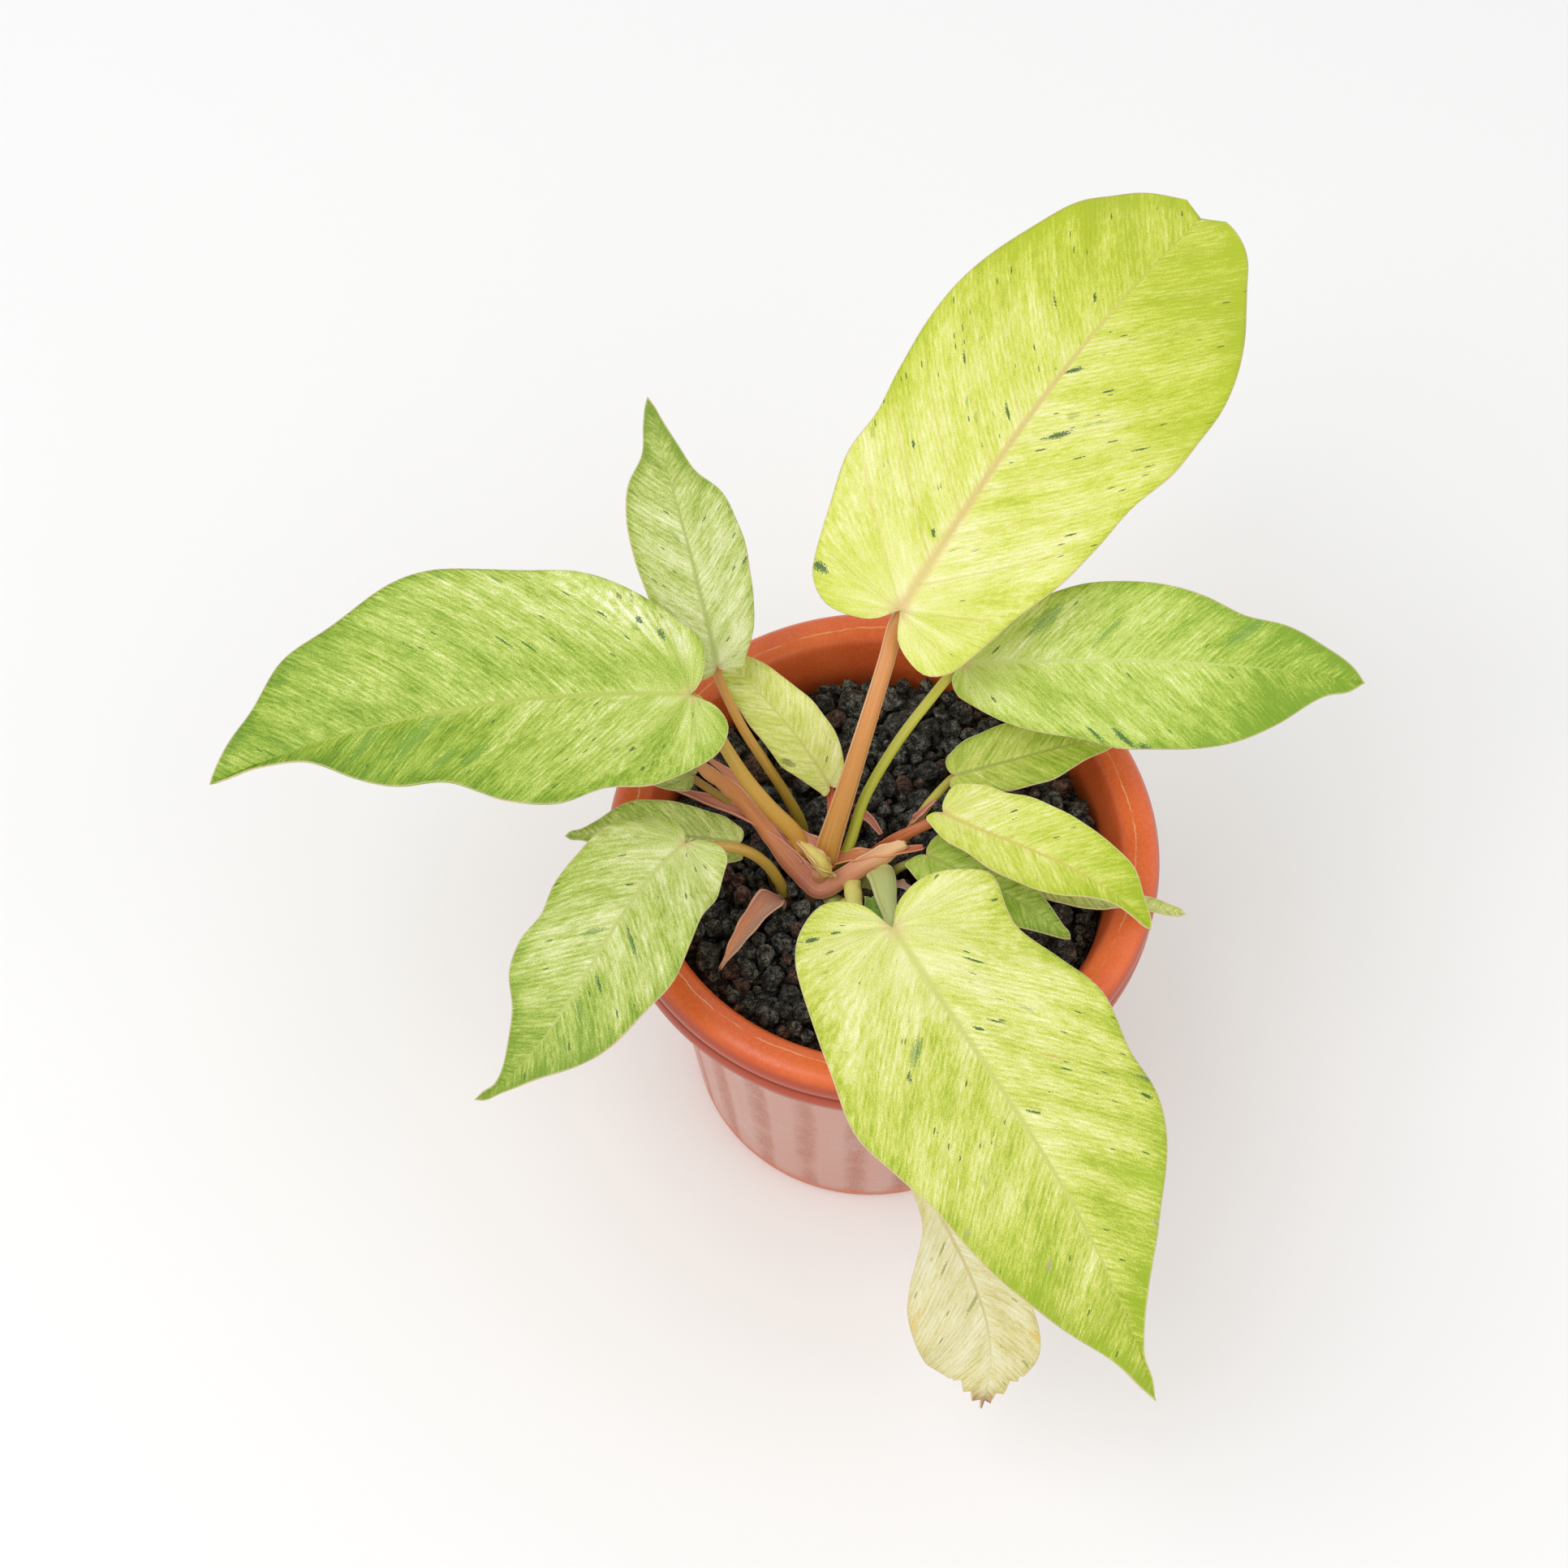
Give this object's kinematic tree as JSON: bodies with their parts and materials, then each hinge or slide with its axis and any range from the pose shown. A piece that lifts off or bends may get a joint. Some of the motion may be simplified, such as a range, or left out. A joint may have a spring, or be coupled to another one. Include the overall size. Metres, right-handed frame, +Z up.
{
  "type": "potted philodendron",
  "caption": "Round fluted nursery pot with a rolled rim, filled with lava rock, holding a low philodendron with broad heart-shaped leaves on arching stalks.",
  "frame": {"origin": "centre of the pot's underside, where it rests", "axes": "+Z up the pot's axis, +X to the right and +Y away as seen in the picture"},
  "size_m": [0.3592, 0.377, 0.2585],
  "materials": {
    "terracotta_plastic": "satin moulded plastic, terracotta orange",
    "lava_rock": "rough porous rock, charcoal",
    "stem_skin": "smooth plant skin, orange",
    "petiole_skin": "smooth plant skin, orange to yellow-green",
    "papery_sheath": "dry papery scale, pink-brown",
    "leaf_lime": "satin leathery leaf, lime yellow",
    "leaf_green": "satin leathery leaf, pale green",
    "leaf_cream": "satin leathery leaf, cream"
  },
  "bodies": {
    "root": {"pot": "terracotta_plastic", "medium": "lava_rock", "stem": "stem_skin", "sheath_front": "papery_sheath", "sheath_back": "papery_sheath", "petiole_a": "petiole_skin", "petiole_b": "petiole_skin", "petiole_c": "petiole_skin", "petiole_d": "petiole_skin", "petiole_e": "petiole_skin", "petiole_f": "petiole_skin", "petiole_g": "petiole_skin", "petiole_h": "petiole_skin", "petiole_i": "petiole_skin", "petiole_j": "petiole_skin", "petiole_k": "petiole_skin", "petiole_l": "petiole_skin", "petiole_m": "petiole_skin", "petiole_n": "petiole_skin", "petiole_o": "petiole_skin", "blade_a": "leaf_lime", "blade_b": "leaf_green", "blade_c": "leaf_green", "blade_d": "leaf_green", "blade_e": "leaf_green", "blade_f": "leaf_green", "blade_g": "leaf_lime", "blade_h": "leaf_green", "blade_i": "leaf_green", "blade_j": "leaf_lime", "blade_k": "leaf_cream", "blade_l": "leaf_green", "blade_m": "leaf_green", "blade_n": "leaf_green", "blade_o": "leaf_green"}
  },
  "joints": []
}
